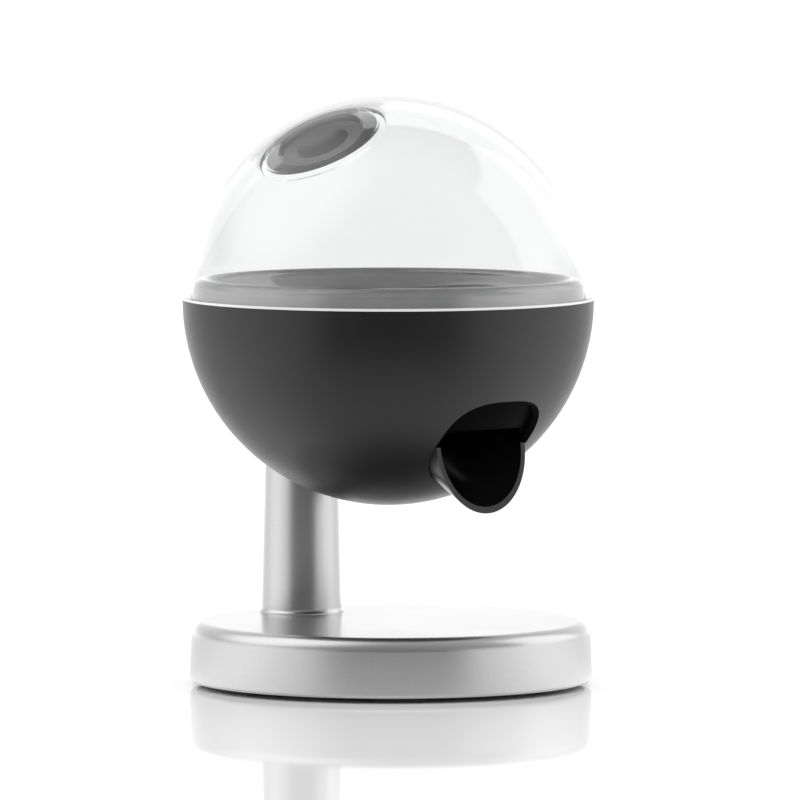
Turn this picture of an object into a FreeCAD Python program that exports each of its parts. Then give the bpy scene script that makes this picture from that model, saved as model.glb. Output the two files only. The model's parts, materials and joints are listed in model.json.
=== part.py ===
# Countertop sweet and nut dispenser: a clear dome on a dark bowl, a hand-sensing spout, an offset post and a round foot.
# Frame: millimetres, +Z up, origin at the centre of the surface the foot rests on, spout towards -Y, post towards +Y.
import FreeCAD, Part
from FreeCAD import Vector as V, Rotation, Placement
import math
import os

os.makedirs("parts", exist_ok=True)

# ---------------------------------------------------------------- driving dimensions
R = 62.5            # globe, outside
CZ = 117.5          # globe centre height
DOME_T = 2.2        # clear wall
BOWL_T = 2.4        # bowl wall
SEAM = 117.5        # height of the seam between dome and bowl
FILL_TILT = 33.5    # fill hole leans back from vertical, degrees
FILL_R = 13.6       # fill hole radius
SEAT_R = 19.7       # recess the plug flange sits in
PLUG_FLANGE_R = 18.9
PLUG_R = 13.2
LIP_H = 6.6         # hopper lip above the seam
CHAMBER_R = 29.0    # rotor chamber, inside
FLOOR_TOP = 84.0
FLOOR_T = 2.0
VANES = 6
VANE_R = 28.3
SHAFT_R = 2.0
GEAR_M = 0.5
PINION_Z = 12
WHEEL_Z = 42
GEAR_C = GEAR_M * (PINION_Z + WHEEL_Z) / 2.0     # 13.5
PA = 25.0
MOTOR_R = 11.0
MOTOR_H = 10.6
SPOUT_HALF = 18.37  # half width of the spout between its two notches
NOTCH_Y, NOTCH_Z = -42.36, 75.4
ARCH_TOP = 89.25
LIP_Y, LIP_Z = -45.7, 54.75   # lowest point of the spout's rim
CHUTE_SLOPE = 24.0
CHUTE_T = 1.6
POST_Y = 40.5
POST_R0, POST_TAPER = 12.35, 0.0233
POST_T = 1.8
BASE_R = 61.1
BASE_Y = -1.27        # the round foot sits slightly forward of the globe's axis
BASE_TOP = 19.6
BASE_BOT = 1.6
BASE_FILLET = 4.1
BASE_T = 2.0
FOOT_R0, FOOT_R1 = 51.6, 56.0     # each foot is a short arc between these radii
FOOT_HALF = 8.2       # half the angle of one foot, degrees
FOOT_PHASE = -128.2   # angle of the first foot about +Z, degrees
CELL_R, CELL_L = 5.2, 44.5
DOOR_X, DOOR_Y0, DOOR_Y1 = 27.0, -26.0, 9.4
C = V(0, 0, CZ)


# ---------------------------------------------------------------- helpers
def save(name, shape):
    shape.exportStep("parts/%s.step" % name)
    sol = shape.Solids
    bb = shape.BoundBox
    print("%-20s solids %2d vol %9.1f valid %s  x %.1f..%.1f y %.1f..%.1f z %.1f..%.1f" % (
        name, len(sol), shape.Volume, shape.isValid(), bb.XMin, bb.XMax, bb.YMin, bb.YMax, bb.ZMin, bb.ZMax))


def cyl(r, z0, z1, x=0, y=0):
    return Part.makeCylinder(r, z1 - z0, V(x, y, z0))


def box(x0, x1, y0, y1, z0, z1):
    return Part.makeBox(x1 - x0, y1 - y0, z1 - z0, V(x0, y0, z0))


def sphere(r, c=C):
    return Part.makeSphere(r, c)


def poly(points):
    pts = [V(*p) for p in points]
    return Part.makePolygon(pts + [pts[0]])


def revolve(points, cx=0, cy=0):
    """points are (r, z) or ('arc', mid, end): closed profile turned about a vertical axis."""
    edges, cur = [], None
    first = None
    for p in points:
        if p[0] == "arc":
            m, e = V(p[1][0], 0, p[1][1]), V(p[2][0], 0, p[2][1])
            edges.append(Part.Arc(cur, m, e).toShape())
            cur = e
        else:
            q = V(p[0], 0, p[1])
            if cur is None:
                first = q
            elif (q - cur).Length > 1e-7:
                edges.append(Part.makeLine(cur, q))
            cur = q
    if (cur - first).Length > 1e-7:
        edges.append(Part.makeLine(cur, first))
    face = Part.Face(Part.Wire(edges))
    s = face.revolve(V(0, 0, 0), V(0, 0, 1), 360)
    s.translate(V(cx, cy, 0))
    return s if s.ShapeType == "Solid" else Part.Solid(s.Shells[0]) if s.Shells else s


def fuse(*shapes):
    s = shapes[0]
    for t in shapes[1:]:
        s = s.fuse(t)
    return s.removeSplitter()


def tilt(shape, deg):
    """turns a shape built about +Z at the globe centre so that +Z leans back towards +Y by deg."""
    s = shape.copy()
    s.rotate(C, V(1, 0, 0), -deg)
    return s


def along(shape, p, d):
    """puts a shape built along +Z at the origin at point p, pointing along d."""
    s = shape.copy()
    s.Placement = Placement(p, Rotation(V(0, 0, 1), d)).multiply(s.Placement)
    return s


def screw(p, d, shank_r, shank_l, head_r, head_h):
    """pan head screw: underside of the head at p, shank along d, cross recess in the head."""
    z = Part.makeCylinder(shank_r, shank_l, V(0, 0, 0))
    h = Part.makeCylinder(head_r, head_h, V(0, 0, -head_h))
    tip = Part.makeCone(shank_r, shank_r * 0.3, shank_r * 1.2, V(0, 0, shank_l))
    s = z.fuse(h).fuse(tip)
    w = head_r * 0.34
    c1 = Part.makeBox(head_r * 1.2, w, head_h * 0.55, V(-head_r * 0.6, -w / 2, -head_h))
    c2 = Part.makeBox(w, head_r * 1.2, head_h * 0.55, V(-w / 2, -head_r * 0.6, -head_h))
    s = s.cut(c1).cut(c2).removeSplitter()
    return along(s, p, d)


def gear(teeth, z0, z1, cx, cy, phase, bore, hub_r=0.0):
    """involute spur gear with 0.15 mm backlash; a tooth centre sits at angle phase (degrees)."""
    rp = GEAR_M * teeth / 2.0
    rb = rp * math.cos(math.radians(PA))
    ra = rp + 0.85 * GEAR_M
    rf = rp - 1.15 * GEAR_M
    inv = lambda r: math.sqrt(max(0.0, (r / rb) ** 2 - 1)) - math.acos(min(1.0, rb / r))
    half = (math.pi * GEAR_M / 2 - 0.15) / 2 / rp
    pts = []
    radii = [max(rb, rf) + (ra - max(rb, rf)) * k / 4.0 for k in range(5)]
    for i in range(teeth):
        a = math.radians(phase) + 2 * math.pi * i / teeth
        flank = []
        if rf < rb:
            flank.append((rf, half + inv(rp)))
        for r in radii:
            flank.append((r, half + inv(rp) - inv(r)))
        for r, t in flank:
            pts.append((cx + r * math.cos(a - t), cy + r * math.sin(a - t), z0))
        for r, t in reversed(flank):
            pts.append((cx + r * math.cos(a + t), cy + r * math.sin(a + t), z0))
    s = Part.Face(poly(pts)).extrude(V(0, 0, z1 - z0))
    if bore:
        s = s.cut(cyl(bore, z0 - 1, z1 + 1, cx, cy))
    return s


# ---------------------------------------------------------------- globe: dome and fill plug
ri = R - DOME_T
dome = revolve([(R, SEAM), ("arc", (R * math.cos(math.pi / 4), CZ + R * math.sin(math.pi / 4)), (0, CZ + R)),
                (0, CZ + ri), ("arc", (ri * math.cos(math.pi / 4), CZ + ri * math.sin(math.pi / 4)), (ri, SEAM))])
seat_outer, seat_inner = 61.2, 58.9
boss = sphere(seat_outer).cut(sphere(seat_inner)).common(tilt(cyl(SEAT_R + 1.4, CZ, CZ + 70), FILL_TILT))
recess = tilt(cyl(SEAT_R, CZ, CZ + 70), FILL_TILT).cut(sphere(seat_outer))
dome = dome.cut(recess).fuse(boss).cut(tilt(cyl(FILL_R, CZ + 20, CZ + 70), FILL_TILT)).removeSplitter()
save("dome", dome)

plug = sphere(62.7).cut(sphere(61.45)).common(cyl(PLUG_FLANGE_R, CZ, CZ + 70))
core = cyl(PLUG_R, CZ + 56.3, CZ + 70).common(sphere(62.7))
plug = plug.fuse(core)
dish = revolve([(0, CZ + 59.9), (6.6, CZ + 59.9), ("arc", (8.4, CZ + 60.6), (9.2, CZ + 62.2)), (9.2, CZ + 66), (0, CZ + 66)])
bar = box(-1.7, 1.7, -9.6, 9.6, CZ + 59.0, CZ + 62.35)
dish = dish.cut(bar)
plug = plug.cut(dish).cut(cyl(8.5, CZ + 55, CZ + 58.5))
plug = plug.cut(cyl(PLUG_R + 2, CZ + 57.7, CZ + 59.3).cut(cyl(12.15, CZ + 57, CZ + 60)))
plug = plug.removeSplitter()
save("fill_plug", tilt(plug, FILL_TILT))
seal = revolve([(12.15, CZ + 57.75), (13.0, CZ + 57.75), ("arc", (13.42, CZ + 58.5), (13.0, CZ + 59.25)), (12.15, CZ + 59.25)])
save("plug_seal", tilt(seal, FILL_TILT))

# ---------------------------------------------------------------- spout shape, used by bowl and chute
s_ = math.radians(CHUTE_SLOPE)
d_out = V(0, -math.cos(s_), -math.sin(s_))      # down the chute
q_dn = V(0, math.sin(s_), -math.cos(s_))        # square to it, downwards
rel = V(0, LIP_Y - NOTCH_Y, LIP_Z - NOTCH_Z)
U_DEPTH = rel.dot(q_dn)
NOTCH = V(0, NOTCH_Y, NOTCH_Z)


def trough(a, b, back, front, flare=0.0):
    """closed half-elliptic bar, half width a and depth b under the notch line, from back to front along the chute."""
    def section(t, a, b):
        o = NOTCH + d_out * t
        pts = []
        n = 24
        for i in range(n + 1):
            u = math.pi * i / n
            pts.append(o + V(-a * math.cos(u), 0, 0) + q_dn * (b * math.sin(u)))
        sp = Part.BSplineCurve()
        sp.interpolate(pts)
        return Part.Wire([sp.toShape(), Part.makeLine(pts[-1], pts[0])])
    return Part.makeLoft([section(back, a - flare, b - flare), section(front, a, b)], True, True)


RIM_N = V(0, -1, 0)
t_mouth = 16.0
outer_u = trough(SPOUT_HALF, U_DEPTH, -34.0, t_mouth, 2.2)
inner_u = trough(SPOUT_HALF - CHUTE_T, U_DEPTH - CHUTE_T, -36.0, t_mouth + 1, 2.25)
# everything beyond the rim plane, which runs through both notches and the lowest point of the rim
rim_dir = V(0, LIP_Y - NOTCH_Y, LIP_Z - NOTCH_Z).normalize()
rim_norm = V(0, rim_dir.z, -rim_dir.y)
if rim_norm.y > 0:
    rim_norm = rim_norm * -1
beyond = along(box(-60, 60, -60, 60, 0, 40), NOTCH + V(0, 0, 0), rim_norm)

# ---------------------------------------------------------------- bowl
rb_i = R - BOWL_T
bowl = revolve([(0, CZ - R), ("arc", (R * math.cos(math.pi / 4), CZ - R * math.sin(math.pi / 4)), (R, SEAM)), (rb_i, SEAM),
                ("arc", (rb_i * math.cos(math.pi / 4), CZ - rb_i * math.sin(math.pi / 4)), (0, CZ - rb_i))])
ledge = revolve([(rb_i + 0.6, SEAM - 6.6), (56.6, SEAM - 5.6), (56.6, SEAM - 4.4), (rb_i + 0.6, SEAM - 4.4)]).common(sphere(R - 1.0))
bowl = bowl.fuse(ledge)
arch = []
n = 40
for i in range(n + 1):
    u = math.pi * i / n
    cu, su = math.cos(u), math.sin(u)
    e = 2.0 / 2.9
    arch.append(V(-SPOUT_HALF * (1 if cu > 0 else -1) * abs(cu) ** e, 0, NOTCH_Z + (ARCH_TOP - NOTCH_Z) * abs(su) ** e))
asp = Part.BSplineCurve()
asp.interpolate(arch)
aw = Part.Wire([asp.toShape(), Part.makeLine(arch[-1], arch[0])])
arch_cut = Part.Face(aw).extrude(V(0, -80, 0))
sc_post = [math.degrees(math.asin(POST_Y / R))]


def radial(shape):
    """a shape built about the globe centre pointing down -Z, turned to point at the post top."""
    s = shape.copy()
    s.rotate(C, V(1, 0, 0), sc_post[0])
    return s


clear_u = trough(SPOUT_HALF + 0.12, U_DEPTH + 0.12, -34.0, t_mouth, 2.2)
# the wall between the arch's foot and the top of the trough goes too
between = box(-SPOUT_HALF, SPOUT_HALF, -80, NOTCH_Y + 3.4, NOTCH_Z - 8, NOTCH_Z)
between = between.common(along(box(-60, 60, -80, 80, 0, 60), NOTCH, q_dn * -1))
bowl = bowl.cut(arch_cut).cut(clear_u).cut(between)
BOSSES = [(-22.5, 17.5), (26.0, -13.5), (24.0, 19.0)]
for bx, by in BOSSES:
    b = cyl(3.4, 55, FLOOR_TOP - FLOOR_T, bx, by).common(sphere(R - 0.6))
    bowl = bowl.fuse(b)
for bx, by in BOSSES:
    zb = CZ - math.sqrt(R * R - bx * bx - by * by)
    bowl = bowl.cut(cyl(2.5, 40, zb + 5.0, bx, by)).cut(cyl(1.35, 40, 90, bx, by))
WIRE_R = 3.6
for sx in (-7.4, 7.4):
    bowl = bowl.fuse(radial(cyl(3.1, CZ - R + 1.2, CZ - rb_i + 1.0, sx, 0)))
bowl = bowl.cut(radial(cyl(WIRE_R, CZ - 70, CZ - 50)))
for sx in (-7.4, 7.4):
    bowl = bowl.cut(radial(cyl(1.5, CZ - 70, CZ - 50, sx, 0)))
bowl = bowl.removeSplitter()
save("bowl", bowl)

# ---------------------------------------------------------------- hopper with rotor chamber
lt = SEAM + LIP_H
WALL_R = CHAMBER_R + 1.8
hopper = revolve([
    (CHAMBER_R, FLOOR_TOP), (CHAMBER_R, 97.0), (51.8, 116.6),
    ("arc", (53.2, 118.8), (53.9, 121.4)), ("arc", (54.9, 123.5), (56.6, lt)), ("arc", (58.6, 123.2), (59.3, 121.0)),
    (59.7, 117.5), (59.7, 113.15), (57.7, 113.15), (57.7, 120.4), ("arc", (57.2, 121.7), (56.5, 122.2)),
    ("arc", (55.9, 121.8), (55.6, 120.9)), ("arc", (54.6, 117.6), (53.0, 115.2)), (WALL_R, 96.2), (WALL_R, FLOOR_TOP)])
floor = revolve([(3.3, FLOOR_TOP - FLOOR_T), (WALL_R, FLOOR_TOP - FLOOR_T), (WALL_R, FLOOR_TOP), (3.3, FLOOR_TOP)])
WIN0, WIN1, WIN_A = 14.0, 28.0, 34.0


def sector(r0, r1, z0, z1, half):
    s = cyl(r1, z0, z1).cut(cyl(r0, z0 - 1, z1 + 1))
    w = Part.Face(poly([(0, 0, z0 - 2), (200 * math.sin(-math.radians(half)), -200 * math.cos(math.radians(half)), z0 - 2),
                        (200 * math.sin(math.radians(half)), -200 * math.cos(math.radians(half)), z0 - 2)])).extrude(V(0, 0, z1 - z0 + 4))
    return s.common(w)


floor = floor.cut(sector(WIN0, WIN1, FLOOR_TOP - FLOOR_T - 1, FLOOR_TOP + 1, WIN_A).common(box(-40, 40, -60, -15.4, 60, 100)))
TABS = [(-22.6, -24.4), (22.6, -24.4)]     # screws that hold the chute
REAR_TABS = [(33.3 * math.cos(math.radians(a)), 33.3 * math.sin(math.radians(a))) for a in (50, 158, -10)]   # screws that hold the floor to the funnel
for tx, ty in TABS:
    hopper = hopper.fuse(cyl(2.9, FLOOR_TOP, 90.4, tx, ty).cut(cyl(CHAMBER_R + 0.5, 60, 100)))
    hopper = hopper.cut(cyl(1.2, 80, 87.0, tx, ty)).cut(Part.makeCone(1.2, 0.36, 1.44, V(tx, ty, 87.0)))
    floor = floor.fuse(cyl(2.9, FLOOR_TOP - FLOOR_T, FLOOR_TOP, tx, ty)).cut(cyl(1.3, 80, 90, tx, ty))
for tx, ty in REAR_TABS:
    hopper = hopper.fuse(cyl(2.7, FLOOR_TOP, 90.0, tx, ty).cut(cyl(CHAMBER_R + 0.5, 60, 100)))
    hopper = hopper.cut(cyl(1.0, 80, 87.0, tx, ty)).cut(Part.makeCone(1.0, 0.3, 1.2, V(tx, ty, 87.0)))
    floor = floor.fuse(cyl(2.7, FLOOR_TOP - FLOOR_T, FLOOR_TOP, tx, ty)).cut(cyl(1.15, 80, 90, tx, ty))
for bx, by in BOSSES:
    floor = floor.cut(cyl(1.0, FLOOR_TOP - FLOOR_T - 1, FLOOR_TOP - 0.5, bx, by))
# the round chamber wall round the paddles is its own ring, welded under the funnel
ring_zone = cyl(45.0, FLOOR_TOP - 1.0, 96.2)
save("chamber_ring", hopper.common(ring_zone).removeSplitter())
hopper = hopper.cut(ring_zone).removeSplitter()
save("hopper", hopper)
save("floor_screws", Part.makeCompound([screw(V(tx, ty, FLOOR_TOP - FLOOR_T), V(0, 0, 1), 1.0, 5.0, 1.9, 1.1) for tx, ty in REAR_TABS]))

guard = sector(8.2, 36.0, 97.9, 99.7, 46.0)
rib = sector(8.2, 36.0, 99.7, 101.2, 3.0)
gwall = sector(8.2, 36.0, 97.9, 101.2, 46.0).cut(sector(8.0, 40.0, 97.0, 103.0, 43.0))
guard = guard.fuse(rib).fuse(gwall)
cone_in = revolve([(0, 97.0), (CHAMBER_R, 97.0), (51.8, 116.6), (0, 116.6)])
guard = guard.common(cone_in).cut(hopper).removeSplitter()
save("outlet_guard", guard)

# ---------------------------------------------------------------- rotor, shaft, agitator
rotor = cyl(6.2, FLOOR_TOP + 0.5, 97.0)
for i in range(VANES):
    v = box(4.0, VANE_R - 0.9, -0.95, 0.95, FLOOR_TOP + 0.6, 96.6).fuse(cyl(0.95, FLOOR_TOP + 0.6, 96.6, VANE_R - 0.95, 0))
    v.rotate(V(0, 0, 0), V(0, 0, 1), 60 * i)
    rotor = rotor.fuse(v)
rotor = rotor.cut(cyl(SHAFT_R, 80, 100)).removeSplitter()
save("rotor", rotor)

cap = revolve([(0, 97.0), (6.6, 97.0), (6.6, 98.6), ("arc", (5.6, 103.2), (2.9, 107.2)), (2.9, 106.4), (0, 106.4)])
for i in range(3):
    w = Part.Face(poly([(3.0, -0.8, 102.0), (15.0, -0.8, 102.0), (15.0, -0.8, 103.6), (4.0, -0.8, 106.3)])).extrude(V(0, 1.6, 0))
    w.rotate(V(0, 0, 0), V(0, 0, 1), 120 * i)
    cap = cap.fuse(w)
cap = cap.cut(cyl(1.3, 96, 110)).cut(cyl(SHAFT_R, 96, 99.0)).removeSplitter()
save("agitator_cap", cap)
shaft = cyl(SHAFT_R, 75.0, 99.0).cut(cyl(1.05, 92.0, 100.0))
save("rotor_shaft", shaft)
save("agitator_screw", screw(V(0, 0, 106.4), V(0, 0, -1), 1.05, 11.5, 2.5, 1.5))
save("shaft_bush", revolve([(SHAFT_R + 0.05, 81.75), (3.3, 81.75), (3.3, FLOOR_TOP), (4.6, FLOOR_TOP), (4.6, FLOOR_TOP + 0.4), (SHAFT_R + 0.05, FLOOR_TOP + 0.4)]))

# ---------------------------------------------------------------- gear train under the floor
O = (0.0, 0.0)
G1 = (GEAR_C * math.cos(math.radians(30)), GEAR_C * math.sin(math.radians(30)))
M = (0.0, GEAR_C)
ZA0, ZA1, ZB0, ZB1 = 76.2, 78.3, 78.7, 81.3
ang_og = math.degrees(math.atan2(G1[1] - O[1], G1[0] - O[0]))
ang_gm = math.degrees(math.atan2(M[1] - G1[1], M[0] - G1[0]))
# output wheel has a gap, and the idler pinion a tooth, on the line between them
wheel_out = gear(WHEEL_Z, ZB0, ZB1, 0, 0, ang_og + 180.0 / WHEEL_Z, 0)
web = cyl(8.4, ZB0 + 1.6, ZB1 + 1).cut(cyl(4.2, ZB0, ZB1 + 2))
wheel_out = wheel_out.cut(web).cut(cyl(SHAFT_R, 70, 90)).removeSplitter()
save("output_gear", wheel_out)
idler_pinion = gear(PINION_Z, ZB0 - 0.4, ZB1, G1[0], G1[1], ang_og + 180.0, 0)
idler_wheel = gear(WHEEL_Z, ZA0, ZA1, G1[0], G1[1], ang_gm + 180.0 / WHEEL_Z, 0)
idler = idler_wheel.fuse(idler_pinion).cut(cyl(1.05, 70, 90, G1[0], G1[1])).removeSplitter()
save("idler_gear", idler)
save("idler_pin", cyl(1.0, 74.3, 81.7, G1[0], G1[1]))
save("motor_pinion", gear(PINION_Z, ZA0, ZA1 + 0.1, M[0], M[1], ang_gm + 180.0, 0.75))


def train(r_o, r_g, r_m, z0, z1):
    return fuse(cyl(r_o, z0, z1), cyl(r_g, z0, z1, *G1), cyl(r_m, z0, z1, *M))


TR0 = 74.3
tray = train(12.9, 12.9, 12.9, TR0, FLOOR_TOP - FLOOR_T).cut(train(11.6, 11.7, 11.6, TR0 + 1.5, 90))
tray = tray.cut(cyl(SHAFT_R + 0.05, TR0 + 0.4, 80))
tray = tray.cut(cyl(1.0, 70, 79, *G1)).cut(cyl(2.6, 70, 79, *M))
EARS = [(-15.2, 3.0), (-15.0, 17.5), (15.6, 21.8)]
for (ex, ey), (ox, oy) in zip(EARS, (O, M, M)):
    ear = cyl(3.0, TR0 + 2.2, FLOOR_TOP - FLOOR_T, ex, ey)
    bridge = box(0, 5.5, -2.6, 2.6, TR0 + 2.2, FLOOR_TOP - FLOOR_T)
    bridge.rotate(V(0, 0, 0), V(0, 0, 1), math.degrees(math.atan2(oy - ey, ox - ex)))
    bridge.translate(V(ex, ey, 0))
    tray = tray.fuse(ear.fuse(bridge).cut(train(11.6, 11.7, 11.6, 70, 90)))
for ex, ey in EARS:
    tray = tray.cut(cyl(1.25, 70, 90, ex, ey))
for sx in (-6.0, 6.0):
    tray = tray.cut(cyl(0.9, 70, 79, M[0] + sx, M[1]))
tray = tray.removeSplitter()
save("gearbox_tray", tray)
MT = TR0
motor = cyl(MOTOR_R, MT - MOTOR_H, MT, *M)
motor = motor.fuse(cyl(2.4, MT, MT + 1.0, *M))
motor = motor.makeFillet(0.9, [e for e in motor.Edges if e.Length > 60 and abs(e.BoundBox.ZMax - (MT - MOTOR_H)) < 1e-3])
motor = motor.cut(cyl(0.8, 50, 90, *M))
for sx in (-6.0, 6.0):
    motor = motor.cut(cyl(0.85, MT - 2.6, MT + 1, M[0] + sx, M[1]))
save("motor_can", motor)
save("motor_shaft", cyl(0.75, MT - 9.0, ZA1 + 0.3, *M))
save("motor_screws", Part.makeCompound([screw(V(M[0] + sx, M[1], MT + 1.5), V(0, 0, -1), 0.84, 2.6, 1.5, 0.25) for sx in (-6.0, 6.0)]))
terms = [box(M[0] + sx - 1.0, M[0] + sx + 1.0, M[1] + 10.9, M[1] + 13.6, MT - 7.0, MT - 6.6) for sx in (-3.5, 3.5)]
save("motor_terminals", Part.makeCompound([t.cut(cyl(MOTOR_R, 50, 90, *M)) for t in terms]))
save("gearbox_screws", Part.makeCompound([screw(V(ex, ey, TR0 + 2.2), V(0, 0, 1), 1.2, 6.0, 2.2, 1.3) for ex, ey in EARS]))
for ex, ey in EARS:
    floor = floor.cut(cyl(1.2, 80, 82.5, ex, ey)).cut(Part.makeCone(1.2, 0.36, 1.44, V(ex, ey, 82.5)))
save("chamber_floor", floor.removeSplitter())

# ---------------------------------------------------------------- chute, sensor window, sensor board
chute = outer_u.cut(inner_u)
chute = chute.cut(beyond)
chute = chute.cut(box(-60, 60, -60, 60, FLOOR_TOP - FLOOR_T, 130)).cut(box(-60, 60, -13.6, 60, 40, 130))
end = outer_u.common(box(-60, 60, -15.2, -13.6, 40, FLOOR_TOP - FLOOR_T))
chute = chute.fuse(end)
# side cheeks stand up inside the bowl to the hopper floor and stop short of the bowl wall
cheek = box(-SPOUT_HALF + 0.25, SPOUT_HALF - 0.25, -42.0, -13.6, 70.0, FLOOR_TOP - FLOOR_T)
cheek = cheek.cut(box(-SPOUT_HALF + 0.25 + CHUTE_T, SPOUT_HALF - 0.25 - CHUTE_T, -50, -15.2, 60, 90))
above = along(box(-60, 60, -80, 80, 0, 60), NOTCH + q_dn * 0.6, q_dn * -1)
chute = chute.fuse(cheek.common(above).common(sphere(57.0))).cut(box(-60, 60, -200, 60, FLOOR_TOP - FLOOR_T, 130))
for tx, ty in TABS:
    sg = 1 if tx > 0 else -1
    tab = cyl(2.9, 79.0, FLOOR_TOP - FLOOR_T, tx, ty).fuse(box(min(tx, sg * 17.0), max(tx, sg * 17.0), ty - 2.9, ty + 2.9, 79.0, FLOOR_TOP - FLOOR_T))
    chute = chute.fuse(tab).cut(cyl(1.3, 70, 90, tx, ty))
chute = chute.removeSplitter()
save("chute", chute)
save("chute_screws", Part.makeCompound([screw(V(tx, ty, 79.0), V(0, 0, 1), 1.2, 8.0, 2.2, 1.3) for tx, ty in TABS]))

win = sphere(59.9).cut(sphere(58.2)).common(box(-21.5, 21.5, -70, 0, 77.6, 93.0))
open_w = box(-15.4, 15.4, -70, 0, 60, 80.4)
open_w = open_w.makeFillet(3.0, [e for e in open_w.Edges if abs(e.BoundBox.ZMin - 80.4) < 1e-3 and abs(abs(e.CenterOfMass.x) - 15.4) < 1e-3])
win = win.cut(open_w)
ribs = box(-13.9, -12.5, -57, -37.2, 84.0, 92.0).fuse(box(12.5, 13.9, -57, -37.2, 84.0, 92.0)).common(sphere(59.0))
win = win.fuse(ribs)
board = box(-13.4, 13.4, -40.6, -39.4, 84.2, 91.6)
win = win.cut(box(-13.4, 13.4, -40.65, -39.35, 84.0, 93.0)).cut(clear_u)
win = win.removeSplitter()
save("sensor_window", win)
save("sensor_board", board.cut(Part.makeCompound([Part.makeCylinder(0.35, 4, V(x, -42, z), V(0, 1, 0)) for x in (-7.3, -4.7, 4.7, 7.3) for z in (88.0,)])))


def led(x, z, y):
    b = Part.makeCylinder(1.5, 3.6, V(x, y, z), V(0, -1, 0)).fuse(Part.makeSphere(1.5, V(x, y - 3.6, z)))
    b = b.fuse(Part.makeCylinder(1.9, 0.8, V(x, y, z), V(0, -1, 0)))
    return b


save("ir_emitter", led(-6.0, 88.0, -40.6))
save("ir_receiver", led(6.0, 88.0, -40.6))

# ---------------------------------------------------------------- main board at the back, over the post
MB_Z = 86.0
mb = box(-15, 15, 33.6, 46.4, MB_Z, MB_Z + 1.4)
for sx in (-11.5, 11.5):
    mb = mb.cut(cyl(1.2, 80, 90, sx, 43.0))
save("main_board", mb)
ic = box(-5, 5, 36.5, 40.5, MB_Z + 1.4, MB_Z + 3.0)
cap_e = cyl(3.0, MB_Z + 1.4, MB_Z + 8.0, 9.5, 37.5)
tr = box(-11.5, -7.5, 36.0, 38.2, MB_Z + 1.4, MB_Z + 5.6)
chips = [box(x, x + 1.8, 42.0, 43.2, MB_Z + 1.4, MB_Z + 2.1) for x in (-6.0, -2.6, 0.8, 4.2)]
save("board_components", Part.makeCompound([ic, cap_e, tr] + chips))
posts = []
for sx in (-11.5, 11.5):
    posts.append(cyl(2.3, 60, MB_Z, sx, 43.0).common(sphere(rb_i)).cut(cyl(1.0, MB_Z - 8, MB_Z + 1, sx, 43.0)))
save("board_pillars", Part.makeCompound(posts))
save("board_screws", Part.makeCompound([screw(V(sx, 43.0, MB_Z + 1.4), V(0, 0, -1), 1.0, 5.5, 2.1, 1.2) for sx in (-11.5, 11.5)]))

# ---------------------------------------------------------------- post
def post_r(z):
    return POST_R0 - POST_TAPER * (z - BASE_TOP)


ztop = 86.0
outer = revolve([(0, BASE_TOP), (post_r(BASE_TOP) + 0.55, BASE_TOP), (post_r(BASE_TOP) + 0.5, BASE_TOP + 0.35),
                 ("arc", (post_r(BASE_TOP) + 0.16, BASE_TOP + 0.8), (post_r(BASE_TOP + 1.4), BASE_TOP + 1.4)), (post_r(ztop), ztop), (0, ztop)], 0, POST_Y)
inner = revolve([(0, BASE_TOP + 3.0), (post_r(BASE_TOP) - POST_T, BASE_TOP + 3.0), (post_r(ztop) - POST_T, ztop), (0, ztop)], 0, POST_Y)
post = outer.cut(inner.cut(sphere(R + 2.6))).cut(sphere(R))
for sx in (-7.4, 7.4):
    b = radial(Part.makeCone(3.0, 2.6, 10.0, V(sx, 0, CZ - R - 10.0))).common(outer.cut(sphere(R)))
    post = post.fuse(b)
for sx in (-7.4, 7.4):
    post = post.cut(radial(cyl(1.05, CZ - R - 8.6, CZ - R + 4, sx, 0)))
post = post.cut(radial(cyl(WIRE_R, CZ - R - 6.0, CZ - R + 4)))
post = post.cut(cyl(3.8, 10, BASE_TOP + 4, 0, POST_Y))
PS = [(0.0, POST_Y + 7.2), (-6.3, POST_Y - 3.6), (6.3, POST_Y - 3.6)]
for px, py in PS:
    post = post.fuse(cyl(2.4, BASE_TOP, BASE_TOP + 9.0, px, py))
for px, py in PS:
    post = post.cut(cyl(1.05, BASE_TOP - 1, BASE_TOP + 8.0, px, py))
post = post.cut(cyl(3.8, 10, BASE_TOP + 4, 0, POST_Y)).removeSplitter()
save("post", post)
save("post_top_screws", Part.makeCompound([radial(screw(V(sx, 0, CZ - rb_i + 1.0), V(0, 0, -1), 1.04, 8.8, 2.4, 1.3)) for sx in (-7.4, 7.4)]))
save("post_foot_screws", Part.makeCompound([screw(V(px, py, BASE_TOP - BASE_T), V(0, 0, 1), 1.04, 7.5, 2.3, 1.3) for px, py in PS]))
save("globe_screws", Part.makeCompound([screw(V(bx, by, CZ - math.sqrt(R * R - bx * bx - by * by) + 5.0), V(0, 0, 1), 0.99,
                                              FLOOR_TOP - 0.7 - 1.2 - (CZ - math.sqrt(R * R - bx * bx - by * by) + 5.0), 2.35, 1.4) for bx, by in BOSSES]))

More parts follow.
